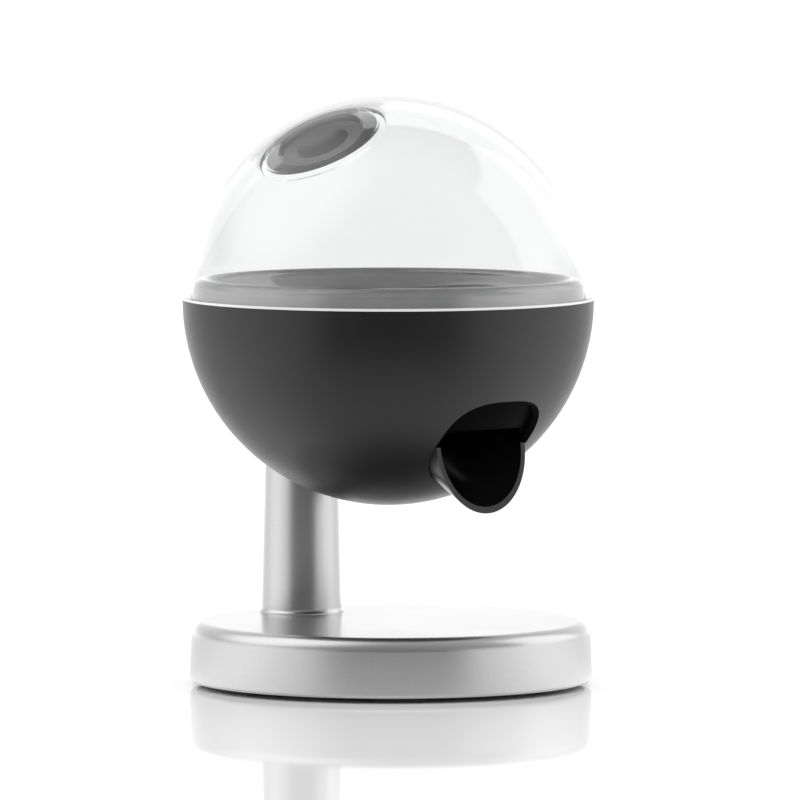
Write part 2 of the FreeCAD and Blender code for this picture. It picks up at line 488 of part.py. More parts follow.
# ---------------------------------------------------------------- foot: cover, plate, battery tray
bc = revolve([(0, BASE_TOP), (BASE_R - 0.25 - BASE_FILLET, BASE_TOP),
              ("arc", (BASE_R - 0.25 - BASE_FILLET + BASE_FILLET * math.sin(math.pi / 4), BASE_TOP - BASE_FILLET + BASE_FILLET * math.cos(math.pi / 4)),
               (BASE_R - 0.25, BASE_TOP - BASE_FILLET)), (BASE_R, BASE_BOT + 1.0), ("arc", (BASE_R - 0.25, BASE_BOT + 0.3), (BASE_R - 0.9, BASE_BOT)),
              (BASE_R - BASE_T, BASE_BOT), (BASE_R - BASE_T - 0.2, BASE_TOP - BASE_FILLET),
              ("arc", (BASE_R - 0.25 - BASE_FILLET + (BASE_FILLET - BASE_T) * math.sin(math.pi / 4), BASE_TOP - BASE_FILLET + (BASE_FILLET - BASE_T) * math.cos(math.pi / 4)),
               (BASE_R - 0.25 - BASE_FILLET, BASE_TOP - BASE_T)), (0, BASE_TOP - BASE_T)], 0, BASE_Y)
BB = [(50.0 * math.cos(math.radians(a)), BASE_Y + 50.0 * math.sin(math.radians(a))) for a in (21.8, 141.8, -158.2, -38.2)]
for x, y in BB:
    bc = bc.fuse(cyl(3.0, 4.0, BASE_TOP - 1.0, x, y))
for x, y in BB:
    bc = bc.cut(cyl(1.05, 3.0, 13.5, x, y))
bc = bc.cut(cyl(3.8, 10, 30, 0, POST_Y))
for px, py in PS:
    bc = bc.cut(cyl(1.3, 10, 30, px, py))
bc = bc.removeSplitter()
save("base_cover", bc)

PLATE0, PLATE1 = 2.0, 4.0
plate = cyl(BASE_R - BASE_T - 0.15, PLATE0, PLATE1, 0, BASE_Y)
plate = plate.cut(box(-DOOR_X, DOOR_X, DOOR_Y0, DOOR_Y1, 0, 10))
plate = plate.fuse(box(-DOOR_X - 1.4, DOOR_X + 1.4, DOOR_Y0 - 1.4, DOOR_Y0, PLATE0, 6.0)).fuse(box(-DOOR_X - 1.4, DOOR_X + 1.4, DOOR_Y1, DOOR_Y1 + 1.4, PLATE0, 6.0))
HX, HZ = DOOR_X - 1.35, 3.05
plate = plate.cut(Part.makeCylinder(0.72, DOOR_Y1 - DOOR_Y0 + 2.4, V(HX, DOOR_Y0 - 1.2, HZ), V(0, 1, 0)))


def arc_pad(i, r0, r1, half, z0, z1, edge=0.0):
    """short arc between two radii with rounded ends; edge rounds its lower outline."""
    a0 = FOOT_PHASE + 60 * i
    pt = lambda r, a: V(r * math.cos(math.radians(a0 + a)), BASE_Y + r * math.sin(math.radians(a0 + a)), z0)
    rm, rr = (r0 + r1) / 2.0, (r1 - r0) / 2.0
    h = half - math.degrees(rr / rm)
    w = Part.Wire([Part.Arc(pt(r1, -h), pt(r1, 0), pt(r1, h)).toShape(),
                   Part.Arc(pt(r1, h), pt(rm, h) + (pt(rm, h + 1) - pt(rm, h)).normalize() * rr, pt(r0, h)).toShape(),
                   Part.Arc(pt(r0, h), pt(r0, 0), pt(r0, -h)).toShape(),
                   Part.Arc(pt(r0, -h), pt(rm, -h) + (pt(rm, -h - 1) - pt(rm, -h)).normalize() * rr, pt(r1, -h)).toShape()])
    s = Part.Face(w).extrude(V(0, 0, z1 - z0))
    if edge:
        s = s.makeChamfer(edge, [e for e in s.Edges if e.BoundBox.ZMax < z0 + 1e-3])
    return s


for i in range(6):
    plate = plate.cut(arc_pad(i, FOOT_R0 - 0.1, FOOT_R1 + 0.1, FOOT_HALF + 0.1, 0.0, PLATE0 + 0.8))
for x, y in BB:
    plate = plate.cut(cyl(1.35, 0, 10, x, y)).cut(cyl(2.6, 0, 2.9, x, y))
SWX, SWY = -38.0, -12.0
plate = plate.cut(box(SWX - 3.4, SWX + 3.4, SWY - 1.3, SWY + 1.3, 0, 10))
plate = plate.removeSplitter()
save("base_plate", plate)
save("base_screws", Part.makeCompound([screw(V(x, y, 2.9), V(0, 0, 1), 1.04, 9.0, 2.4, 0.8) for x, y in BB]))
save("rubber_feet", Part.makeCompound([arc_pad(i, FOOT_R0, FOOT_R1, FOOT_HALF, 0.0, PLATE0 + 0.8, 0.35) for i in range(6)]))

CZ_CELL = 9.5
CY = [-8.3 + k * 10.9 for k in (-1, 0, 1)]
tray_b = box(-DOOR_X - 1.4, DOOR_X + 1.4, DOOR_Y0 - 1.4, DOOR_Y1 + 1.4, 6.0, 16.4).cut(box(-DOOR_X, DOOR_X, DOOR_Y0, DOOR_Y1, 5.0, 15.0))
for y in ((CY[0] + CY[1]) / 2, (CY[1] + CY[2]) / 2):
    tray_b = tray_b.fuse(box(-18, 18, y - 0.2, y + 0.2, 11.8, 15.2))
save("battery_tray", tray_b.removeSplitter())
cells, springs, plates = [], [], []
for k, y in enumerate(CY):
    sgn = 1 if k % 2 == 0 else -1
    x0 = -CELL_L / 2 + sgn * 1.6
    body = Part.makeCylinder(CELL_R, CELL_L - 1.2, V(x0 if sgn > 0 else x0 + 1.2, y, CZ_CELL), V(1, 0, 0))
    nub = Part.makeCylinder(1.9, 1.3, V(x0 + CELL_L - 1.3 if sgn > 0 else x0, y, CZ_CELL), V(1, 0, 0))
    cells.append(body.fuse(nub).removeSplitter())
    # positive plate against the nub, coil spring against the flat end
    px = x0 + CELL_L if sgn > 0 else x0
    plates.append(box(px, px + 0.4, y - 4.2, y + 4.2, 6.2, 13.6) if sgn > 0 else box(px - 0.4, px, y - 4.2, y + 4.2, 6.2, 13.6))
    ex = x0 if sgn > 0 else x0 + CELL_L
    wall = -DOOR_X if sgn > 0 else DOOR_X
    length = abs(ex - wall) - 0.6
    turns = []
    nt = 4
    for t in range(nt):
        cx_ = wall + sgn * (0.6 + 0.3 + (length - 0.6) * t / (nt - 1))
        turns.append(Part.makeTorus(3.2 - 0.35 * t, 0.3, V(cx_, y, CZ_CELL), V(1, 0, 0)))
    p0 = V(wall + sgn * 0.4, y, CZ_CELL + 3.2)
    p1 = V(wall + sgn * (0.6 + 0.3 + (length - 0.6)), y, CZ_CELL + 3.2 - 0.35 * (nt - 1))
    coil = Part.makeCylinder(0.28, (p1 - p0).Length, p0, p1 - p0)
    for t in turns:
        coil = coil.fuse(t)
    springs.append(coil.fuse(box(min(wall, wall + sgn * 0.6), max(wall, wall + sgn * 0.6), y - 4.2, y + 4.2, 6.2, 13.6)).removeSplitter())
save("cells", Part.makeCompound(cells))
save("contact_plates", Part.makeCompound(plates))
save("contact_springs", Part.makeCompound(springs))

# door: turns on two stub pins at +X, snap tongue at -X
door = box(-DOOR_X + 0.35, HX, DOOR_Y0 + 0.35, DOOR_Y1 - 0.35, PLATE0, PLATE1)
door = door.fuse(Part.makeCylinder(1.0, DOOR_Y1 - DOOR_Y0 - 0.7, V(HX, DOOR_Y0 + 0.35, HZ), V(0, 1, 0)))
door = door.fuse(Part.makeCylinder(0.62, DOOR_Y1 - DOOR_Y0 + 1.6, V(HX, DOOR_Y0 - 0.8, HZ), V(0, 1, 0)))
door = door.fuse(box(-DOOR_X + 0.9, -DOOR_X + 2.1, -12.3, -4.3, PLATE1 - 0.5, 5.6))
for k in range(5):
    door = door.cut(box(-22.0 + 1.6 * k, -21.2 + 1.6 * k, -13.3, -3.3, PLATE0 - 1, PLATE0 + 0.5))
save("battery_door", door.removeSplitter())

# slide switch
sw = box(SWX - 4.6, SWX + 4.6, SWY - 2.4, SWY + 2.4, PLATE1, 8.2).cut(box(SWX - 3.3, SWX + 3.3, SWY - 1.2, SWY + 1.2, PLATE1 - 1, 6.6))
save("switch_body", sw)
knob = box(SWX - 3.0, SWX + 0.6, SWY - 1.0, SWY + 1.0, 4.3, 6.3).fuse(box(SWX - 2.3, SWX - 0.1, SWY - 1.0, SWY + 1.0, 1.5, 4.4))
for k in range(2):
    knob = knob.cut(box(SWX - 1.85 + 0.8 * k, SWX - 1.5 + 0.8 * k, SWY - 2, SWY + 2, 1.0, 1.8))
save("switch_knob", knob.removeSplitter())


# ---------------------------------------------------------------- wiring held inside the foot, post and bowl
def wire(points, r):
    pts = [V(*p) for p in points]
    edges, cur = [], pts[0]
    for i in range(1, len(pts) - 1):
        a, b, c = pts[i - 1], pts[i], pts[i + 1]
        u, w = (a - b), (c - b)
        lu, lw = u.Length, w.Length
        u.normalize(); w.normalize()
        turn = math.pi - u.getAngle(w)
        rad = 0.45 * min(lu, lw) / math.tan(turn / 2)
        rad = min(rad, 12.0)
        t = rad * math.tan(turn / 2)
        p1, p2 = b + u * t, b + w * t
        bis = (u + w).normalize()
        mid = b + bis * (rad / math.cos(turn / 2) - rad)
        if (p1 - cur).Length > 1e-6:
            edges.append(Part.makeLine(cur, p1))
        edges.append(Part.Arc(p1, mid, p2).toShape())
        cur = p2
    edges.append(Part.makeLine(cur, pts[-1]))
    path = Part.Wire(edges)
    prof = Part.Wire([Part.makeCircle(r, pts[0], (pts[1] - pts[0]).normalize())])
    s = path.makePipeShell([prof], True, False)
    print("   wire length %.1f, section x length %.1f, volume %.1f" % (path.Length, path.Length * math.pi * r * r, s.Volume))
    return s


WZ = 12.0
leads = [wire([(sx, DOOR_Y1 + 1.4, WZ), (sx, DOOR_Y1 + 12.0, WZ), (sx * 0.6, POST_Y - 8.0, WZ - 1.0), (sx * 0.5, POST_Y, WZ + 3.0), (sx * 0.5, POST_Y + 0.2, 30.0),
               (sx * 0.5, POST_Y + 0.0, 52.0), (sx * 0.5, POST_Y - 0.4, 66.0), (sx * 0.5, POST_Y - 1.2, 78.0), (sx * 0.6, POST_Y - 1.0, MB_Z)], 0.55) for sx in (-2.2, 2.2)]
under_board = box(-60, 60, -60, 60, 0, MB_Z)
save("supply_lead_positive", leads[0].common(under_board))
save("supply_lead_negative", leads[1].common(under_board))
ml = [wire([(sx, M[1] + 13.2, MT - 6.2), (sx, M[1] + 14.2, MT + 0.5), (sx * 1.4, M[1] + 18.6, MT + 5.0), (sx * 1.6, M[1] + 21.4, MB_Z)], 0.45) for sx in (-3.5, 3.5)]
save("motor_leads", Part.makeCompound([m.common(under_board).Solids[0] for m in ml]))
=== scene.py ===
import bpy, bmesh, json, math
from mathutils import Vector, Matrix


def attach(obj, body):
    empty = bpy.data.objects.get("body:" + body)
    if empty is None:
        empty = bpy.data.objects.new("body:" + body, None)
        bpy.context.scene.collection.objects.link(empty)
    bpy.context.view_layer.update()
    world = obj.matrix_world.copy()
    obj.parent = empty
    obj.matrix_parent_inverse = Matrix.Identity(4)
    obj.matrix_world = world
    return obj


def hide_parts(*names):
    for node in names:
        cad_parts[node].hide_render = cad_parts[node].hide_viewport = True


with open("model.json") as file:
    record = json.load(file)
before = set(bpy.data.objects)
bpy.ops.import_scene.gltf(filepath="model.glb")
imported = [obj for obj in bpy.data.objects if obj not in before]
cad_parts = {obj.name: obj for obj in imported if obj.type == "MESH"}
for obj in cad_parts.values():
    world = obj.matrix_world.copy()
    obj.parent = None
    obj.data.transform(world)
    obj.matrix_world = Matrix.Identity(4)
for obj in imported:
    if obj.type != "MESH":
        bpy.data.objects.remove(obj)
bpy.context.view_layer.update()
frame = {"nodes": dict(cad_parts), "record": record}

nodes = frame["nodes"]
S = bpy.context.scene
MM = 0.001

# ------------------------------------------------------------------ shape constants, mm, as in the model
R, CZ = 62.5, 117.5
TILT = math.radians(33.5)


# ------------------------------------------------------------------ camera
TURN = Matrix.Rotation(math.radians(-1.5), 3, "Z")
RIGHT = (TURN @ Vector((0.7705, -0.6374, 0.0))).normalized()
BACK = (TURN @ Vector((-0.6374, -0.7705, 0.0))).normalized()
UP = Vector((0, 0, 1))
cam_data = bpy.data.cameras.new("camera")
cam = bpy.data.objects.new("camera", cam_data)
S.collection.objects.link(cam)
pitch, roll = 0.0692, 0.0006
pos = BACK * 3.1583 + RIGHT * 0.0035838 + UP * (CZ + 188.22) * MM
fwd = (-BACK * math.cos(pitch) - UP * math.sin(pitch)).normalized()
up = RIGHT.cross(fwd).normalized()
m = Matrix((RIGHT, up, -fwd)).transposed().to_4x4()
cam.matrix_world = Matrix.Translation(pos) @ m @ Matrix.Rotation(roll, 4, "Z")
cam_data.sensor_width = 36.0
cam_data.lens = 10416.25 / 800.0 * 36.0
cam_data.clip_start, cam_data.clip_end = 0.1, 50.0
S.camera = cam

# ------------------------------------------------------------------ node helpers
def mat(name):
    m_ = bpy.data.materials.new(name)
    m_.use_nodes = True
    nt = m_.node_tree
    nt.nodes.clear()
    out = nt.nodes.new("ShaderNodeOutputMaterial")
    return m_, nt, out


def N(nt, kind, **kw):
    n = nt.nodes.new(kind)
    for k, v in kw.items():
        if k.startswith("_"):
            setattr(n, k[1:], v)
        else:
            n.inputs[k.replace("__", " ")].default_value = v
    return n


def link(nt, a, b):
    nt.links.new(a, b)


def noise(nt, scale, detail=3.0, rough=0.5, coords=None, dist=0.0):
    n = N(nt, "ShaderNodeTexNoise")
    n.inputs["Scale"].default_value = scale
    n.inputs["Detail"].default_value = detail
    n.inputs["Roughness"].default_value = rough
    n.inputs["Distortion"].default_value = dist
    if coords is not None:
        link(nt, coords, n.inputs["Vector"])
    return n


def ramp(nt, src, stops):
    r = nt.nodes.new("ShaderNodeValToRGB")
    el = r.color_ramp.elements
    el[0].position, el[0].color = stops[0][0], (*stops[0][1], 1)
    el[1].position, el[1].color = stops[-1][0], (*stops[-1][1], 1)
    for p, c in stops[1:-1]:
        e = el.new(p)
        e.color = (*c, 1)
    link(nt, src, r.inputs[0])
    return r


def mrange(nt, src, a, b, c, d):
    r = nt.nodes.new("ShaderNodeMapRange")
    r.inputs[1].default_value, r.inputs[2].default_value = a, b
    r.inputs[3].default_value, r.inputs[4].default_value = c, d
    link(nt, src, r.inputs[0])
    return r


def objco(nt):
    return nt.nodes.new("ShaderNodeTexCoord").outputs["Object"]


def plastic(name, c0, c1, rough0, rough1, bump=0.02, grain=2600.0, ior=1.5, coat=0.0, coat_rough=0.1, blotch=45.0, bump_dist=0.0002):
    """moulded plastic: faint colour drift, uneven gloss and a fine moulded grain."""
    m_, nt, out = mat(name)
    co = objco(nt)
    b = N(nt, "ShaderNodeBsdfPrincipled")
    n1 = noise(nt, blotch, 4.0, 0.55, co)
    r1 = ramp(nt, n1.outputs["Fac"], [(0.3, c0), (0.7, c1)])
    link(nt, r1.outputs["Color"], b.inputs["Base Color"])
    n2 = noise(nt, blotch * 3.1, 5.0, 0.6, co, 0.3)
    r2 = mrange(nt, n2.outputs["Fac"], 0.3, 0.7, rough0, rough1)
    link(nt, r2.outputs[0], b.inputs["Roughness"])
    n3 = noise(nt, grain, 2.0, 0.5, co)
    bp = N(nt, "ShaderNodeBump", Strength=bump, Distance=bump_dist)
    link(nt, n3.outputs["Fac"], bp.inputs["Height"])
    link(nt, bp.outputs["Normal"], b.inputs["Normal"])
    b.inputs["IOR"].default_value = ior
    if coat:
        b.inputs["Coat Weight"].default_value = coat
        b.inputs["Coat Roughness"].default_value = coat_rough
    link(nt, b.outputs[0], out.inputs["Surface"])
    return m_


def metal(name, c0, c1, rough0, rough1, metallic=1.0, flake=3800.0, bump=0.03, blotch=30.0, bump_dist=0.0001, coat=0.0):
    m_, nt, out = mat(name)
    co = objco(nt)
    b = N(nt, "ShaderNodeBsdfPrincipled", Metallic=metallic)
    n1 = noise(nt, flake, 2.0, 0.6, co)
    r1 = ramp(nt, n1.outputs["Fac"], [(0.35, c0), (0.65, c1)])
    link(nt, r1.outputs["Color"], b.inputs["Base Color"])
    n2 = noise(nt, blotch, 4.0, 0.55, co)
    r2 = mrange(nt, n2.outputs["Fac"], 0.3, 0.7, rough0, rough1)
    link(nt, r2.outputs[0], b.inputs["Roughness"])
    bp = N(nt, "ShaderNodeBump", Strength=bump, Distance=bump_dist)
    link(nt, n1.outputs["Fac"], bp.inputs["Height"])
    link(nt, bp.outputs["Normal"], b.inputs["Normal"])
    if coat:
        b.inputs["Coat Weight"].default_value = coat
        b.inputs["Coat Roughness"].default_value = 0.14
    link(nt, b.outputs[0], out.inputs["Surface"])
    return m_


def acrylic(name, tint, rough, ior=1.45):
    """clear polished acrylic with faint handling haze and moulding waviness."""
    m_, nt, out = mat(name)
    co = objco(nt)
    b = N(nt, "ShaderNodeBsdfPrincipled")
    b.inputs["Transmission Weight"].default_value = 1.0
    b.inputs["IOR"].default_value = ior
    b.inputs["Specular IOR Level"].default_value = 0.09
    n0 = noise(nt, 9.0, 2.0, 0.5, co)
    r0 = ramp(nt, n0.outputs["Fac"], [(0.3, tint), (0.7, tuple(min(1.0, v + 0.004) for v in tint))])
    link(nt, r0.outputs["Color"], b.inputs["Base Color"])
    n1 = noise(nt, 30.0, 6.0, 0.65, co, 0.6)
    r1 = mrange(nt, n1.outputs["Fac"], 0.35, 0.75, rough, rough + 0.004)
    link(nt, r1.outputs[0], b.inputs["Roughness"])
    n2 = noise(nt, 14.0, 1.0, 0.4, co)
    bp = N(nt, "ShaderNodeBump", Strength=0.01, Distance=0.0002)
    link(nt, n2.outputs["Fac"], bp.inputs["Height"])
    link(nt, bp.outputs["Normal"], b.inputs["Normal"])
    link(nt, b.outputs[0], out.inputs["Surface"])
    return m_


M = {
    "dome": acrylic("clear_acrylic", (0.982, 0.985, 0.985), 0.0),
    # painted highlight: the dome's bottom edge band is an opaque near-white plastic that stands in for the bright line
    # the clear rim catches
    "dome_edge": plastic("dome_edge_painted_highlight", (0.93, 0.935, 0.935), (0.97, 0.97, 0.97), 0.25, 0.35, 0.01),
    "bowl": plastic("satin_black_bowl", (0.0105, 0.0105, 0.0110), (0.0130, 0.0130, 0.0135), 0.34, 0.38, 0.035, 3200.0, 1.5),
    "chute": plastic("satin_black_spout", (0.004, 0.004, 0.0042), (0.006, 0.006, 0.006), 0.20, 0.26, 0.02, 3000.0, 1.5),
    "hopper": plastic("semi_gloss_hopper", (0.46, 0.46, 0.461), (0.54, 0.54, 0.541), 0.03, 0.06, 0.006, 500.0, 2.15, 0.0, 0.1, 60.0),
    "inner": plastic("matt_black_inner", (0.018, 0.018, 0.019), (0.026, 0.026, 0.027), 0.5, 0.6, 0.08, 2200.0),
    "window": plastic("sensor_window_dark", (0.0022, 0.0021, 0.0023), (0.0034, 0.0032, 0.0035), 0.32, 0.40, 0.02, 1500.0, 1.06),
    "silver": metal("satin_silver_lacquer", (0.55, 0.55, 0.555), (0.61, 0.61, 0.615), 0.28, 0.32, 1.0, coat=0.5),
    "rubber": plastic("soft_rubber", (0.020, 0.020, 0.020), (0.032, 0.031, 0.031), 0.7, 0.82, 0.2, 1800.0, 1.45),
    "paddle": plastic("paddle_grey", (0.05, 0.05, 0.052), (0.07, 0.07, 0.072), 0.45, 0.55, 0.06, 1800.0),
    "gear": plastic("natural_acetal", (0.72, 0.72, 0.68), (0.82, 0.82, 0.78), 0.35, 0.45, 0.04, 1200.0),
    "brass": metal("turned_brass", (0.62, 0.46, 0.20), (0.80, 0.62, 0.30), 0.22, 0.34, 1.0, 900.0, 0.05),
    "steel": metal("plated_steel", (0.50, 0.50, 0.51), (0.68, 0.68, 0.69), 0.24, 0.38, 1.0, 1400.0, 0.06),
    "board": plastic("solder_mask", (0.015, 0.12, 0.05), (0.02, 0.17, 0.07), 0.25, 0.4, 0.05, 900.0),
    "component": plastic("moulded_component", (0.02, 0.02, 0.02), (0.035, 0.035, 0.035), 0.5, 0.65, 0.1, 1500.0),
    "lens": plastic("tinted_lens", (0.03, 0.012, 0.04), (0.045, 0.018, 0.055), 0.06, 0.1, 0.005, 800.0, 1.55),
    "cell": metal("cell_wrap", (0.10, 0.12, 0.15), (0.16, 0.18, 0.22), 0.25, 0.35, 0.6, 300.0, 0.03),
    "red": plastic("red_insulation", (0.36, 0.02, 0.015), (0.5, 0.035, 0.025), 0.35, 0.5, 0.05, 1500.0),
    "black": plastic("black_insulation", (0.015, 0.015, 0.015), (0.03, 0.03, 0.03), 0.35, 0.5, 0.05, 1500.0),
    "knob": plastic("knob_white", (0.66, 0.66, 0.64), (0.76, 0.76, 0.74), 0.4, 0.5, 0.05, 1500.0),
}
# painted shade: the funnel's base colour is mixed towards dark grey on faces that look up into the dome, so the upright
# lip stays lightest and the up-facing faces are darker than the light alone would make them
hn = M["hopper"].node_tree
hb = next(n for n in hn.nodes if n.type == "BSDF_PRINCIPLED")
src = hb.inputs["Base Color"].links[0].from_socket
sep = hn.nodes.new("ShaderNodeSeparateXYZ")
geo = hn.nodes.new("ShaderNodeNewGeometry")
link(hn, geo.outputs["Normal"], sep.inputs[0])
up_face_painted_shade = mrange(hn, sep.outputs["Z"], 0.12, 0.75, 0.0, 0.62)
painted_shade_mix = hn.nodes.new("ShaderNodeMix")
painted_shade_mix.data_type = "RGBA"
painted_shade_mix.blend_type = "MIX"
link(hn, up_face_painted_shade.outputs[0], painted_shade_mix.inputs["Factor"])
link(hn, src, painted_shade_mix.inputs["A"])
painted_shade_mix.inputs["B"].default_value = (0.02, 0.02, 0.02, 1)
link(hn, painted_shade_mix.outputs["Result"], hb.inputs["Base Color"])
BY_SLOT = {"clear_dome": "dome", "black_gloss": "bowl", "inner_black": "inner", "silver_paint": "silver", "soft_rubber": "rubber", "paddle": "paddle",
           "gear_acetal": "gear", "brass_pinion": "brass", "steel": "steel", "board_green": "board", "component_black": "component", "ir_lens": "lens",
           "cell_wrap": "cell", "lead_red": "red", "lead_black": "black", "knob_white": "knob"}
OWN = {"hopper": "hopper", "outlet_guard": "inner", "chute": "chute", "sensor_window": "window"}
slot_of = {s["node"]: s["material_slot"] for s in frame["record"]["subparts"]}
for name, o in nodes.items():
    mm_ = M[OWN.get(name) or BY_SLOT[slot_of[name]]]
    for i in range(len(o.material_slots)):
        o.material_slots[i].material = mm_


# ------------------------------------------------------------------ mesh helpers (points in mm)
def new_obj(name, verts, faces, mats, smooth=True, angle=32.0, face_mat=None):
    me = bpy.data.meshes.new(name)
    me.from_pydata([(x * MM, y * MM, z * MM) for x, y, z in verts], [], faces)
    me.validate()
    bm = bmesh.new()
    bm.from_mesh(me)
    bmesh.ops.remove_doubles(bm, verts=bm.verts, dist=1e-7)
    bmesh.ops.recalc_face_normals(bm, faces=bm.faces)
    bm.to_mesh(me)
    bm.free()
    for mt in (mats if isinstance(mats, (list, tuple)) else [mats]):
        me.materials.append(mt)
    if face_mat:
        for p in me.polygons:
            p.material_index = face_mat(p.center / MM)
    if smooth:
        me.polygons.foreach_set("use_smooth", [True] * len(me.polygons))
        me.set_sharp_from_angle(angle=math.radians(angle))
    o = bpy.data.objects.new(name, me)
    S.collection.objects.link(o)
    return o


def arc(cx, cz, r, a0, a1, n):
    """points on a circle in the (radius, height) plane, angles in degrees from the +radius axis."""
    return [(cx + r * math.cos(math.radians(a0 + (a1 - a0) * i / n)), cz + r * math.sin(math.radians(a0 + (a1 - a0) * i / n))) for i in range(n + 1)]


def round_profile(pts, radii, n=5):
    """closed profile [(r, z)] with each corner rounded by radii[i] (0 keeps it sharp)."""
    out = []
    k = len(pts)
    for i in range(k):
        p, a, b = Vector(pts[i]), Vector(pts[i - 1]), Vector(pts[(i + 1) % k])
        rad = radii[i]
        u, w = (a - p), (b - p)
        if rad <= 0 or u.length < 1e-9 or w.length < 1e-9:
            out.append(tuple(p))
            continue
        u.normalize(); w.normalize()
        ang = u.angle(w)
        if ang > math.pi - 0.02:
            out.append(tuple(p))
            continue
        t = rad / math.tan(ang / 2)
        p1, p2 = p + u * t, p + w * t
        c = p + (u + w).normalized() * (rad / math.sin(ang / 2))
        a1, a2 = math.atan2(p1.y - c.y, p1.x - c.x), math.atan2(p2.y - c.y, p2.x - c.x)
        d = (a2 - a1 + math.pi) % (2 * math.pi) - math.pi
        for j in range(n + 1):
            q = a1 + d * j / n
            out.append((c.x + rad * math.cos(q), c.y + rad * math.sin(q)))
    return out


def lathe(name, profile, mats, seg=256, tilt=0.0, cut_below=None, angle=32.0, centre=(0.0, 0.0), face_mat=None, closed=True):
    """turns a closed (radius, height) profile about +Z, or about the tilted axis through the globe's centre."""
    verts, faces, k = [], [], len(profile)
    ct, st = math.cos(tilt), math.sin(tilt)

    def place(x, y, z):
        if tilt:
            dz = z - CZ
            return (x, y * ct + dz * st, CZ - y * st + dz * ct)
        return (x + centre[0], y + centre[1], z)
    idx = []
    for j, (r, z) in enumerate(profile):
        if r < 1e-6:
            idx.append([len(verts)] * seg)
            verts.append(place(0, 0, z))
        else:
            idx.append(list(range(len(verts), len(verts) + seg)))
            for i in range(seg):
                a = 2 * math.pi * i / seg
                verts.append(place(r * math.cos(a), r * math.sin(a), z))
    for j in range(k if closed else k - 1):
        A, B = idx[j], idx[(j + 1) % k]
        for i in range(seg):
            q = [A[i], A[(i + 1) % seg], B[(i + 1) % seg], B[i]]
            f = []
            for v in q:
                if v not in f:
                    f.append(v)
            if len(f) > 2:
                faces.append(f)
    return new_obj(name, verts, faces, mats, angle=angle, face_mat=face_mat)


def flat_cut(obj, z, keep_above=True):
    """cuts a closed shell at a level and closes the cut between its two loops."""
    bm = bmesh.new()
    bm.from_mesh(obj.data)
    bmesh.ops.bisect_plane(bm, geom=bm.verts[:] + bm.edges[:] + bm.faces[:], plane_co=(0, 0, z * MM), plane_no=(0, 0, 1),
                           clear_inner=keep_above, clear_outer=not keep_above)
    edges = [e for e in bm.edges if e.is_boundary]
    bmesh.ops.bridge_loops(bm, edges=edges)
    bmesh.ops.recalc_face_normals(bm, faces=bm.faces)
    bm.to_mesh(obj.data)
    bm.free()


# ------------------------------------------------------------------ dome: clear shell with the filling hole's seat
DT = 2.2
ro, ri = R, R - DT
seat_r, so, si, hole = 19.7, 61.2, 58.9, 13.6


def polar(rad, a):
    return (rad * math.sin(a), CZ + rad * math.cos(a))


def ang_for(r, rad):
    return math.asin(r / rad)


prof = []
a_end = math.radians(179.0)
for i in range(200):                       # outer skin, from the seat's edge down past the seam
    a = ang_for(seat_r + 0.35, ro) + (a_end - ang_for(seat_r + 0.35, ro)) * i / 199
    prof.append(polar(ro, a))
for i in range(200):                       # inner skin back up to the seat's boss
    a = a_end - (a_end - ang_for(seat_r + 1.4, ri)) * i / 199
    prof.append(polar(ri, a))
prof += [polar(si + 0.5, ang_for(seat_r + 1.2, si + 0.5)), polar(si + 0.12, ang_for(seat_r + 0.9, si + 0.12)), polar(si, ang_for(seat_r + 0.4, si))]
for i in range(10):
    a = ang_for(seat_r + 0.3, si) + (ang_for(hole + 0.35, si) - ang_for(seat_r + 0.3, si)) * i / 9
    prof.append(polar(si, a))
h0, h1 = math.sqrt(si * si - hole * hole), math.sqrt(so * so - hole * hole)
prof += [(hole + 0.1, CZ + h0 + 0.08), (hole, CZ + h0 + 0.35), (hole, CZ + h1 - 0.35), (hole + 0.1, CZ + h1 - 0.08)]
for i in range(10):
    a = ang_for(hole + 0.35, so) + (ang_for(seat_r - 0.25, so) - ang_for(hole + 0.35, so)) * i / 9
    prof.append(polar(so, a))
zs = math.sqrt(ro * ro - seat_r * seat_r)
zo = math.sqrt(so * so - seat_r * seat_r)
prof += [(seat_r - 0.05, CZ + zo + 0.06), (seat_r, CZ + zo + 0.3), (seat_r, CZ + zs - 0.35), (seat_r + 0.1, CZ + zs - 0.1)]
dome = lathe("dome_shell", prof, [M["dome"], M["dome_edge"]], seg=320, tilt=TILT)
flat_cut(dome, CZ + 0.02)
bm = bmesh.new()                           # a level line round the shell, so the painted highlight band at the edge starts cleanly
bm.from_mesh(dome.data)
bmesh.ops.bisect_plane(bm, geom=bm.verts[:] + bm.edges[:] + bm.faces[:], plane_co=(0, 0, (CZ + 0.80) * MM), plane_no=(0, 0, 1))
for f in bm.faces:
    c = f.calc_center_median() / MM
    f.material_index = 1 if c.z < CZ + 0.80 and (c - Vector((0, 0, CZ))).length > 61.4 else 0
    f.smooth = True
bm.to_mesh(dome.data)
bm.free()
dome.data.set_sharp_from_angle(angle=math.radians(30))
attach(dome, "housing")
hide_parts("dome")

# ------------------------------------------------------------------ studio: world, floor
S.view_settings.view_transform = "Standard"
S.view_settings.look = "None"
S.view_settings.exposure = 0.0
S.view_settings.gamma = 1.0

w = bpy.data.worlds.new("studio")
S.world = w
w.use_nodes = True
w.cycles.sampling_method = "NONE"          # the surroundings are broad and smooth, so rays find them on their own
D2R = math.pi / 180


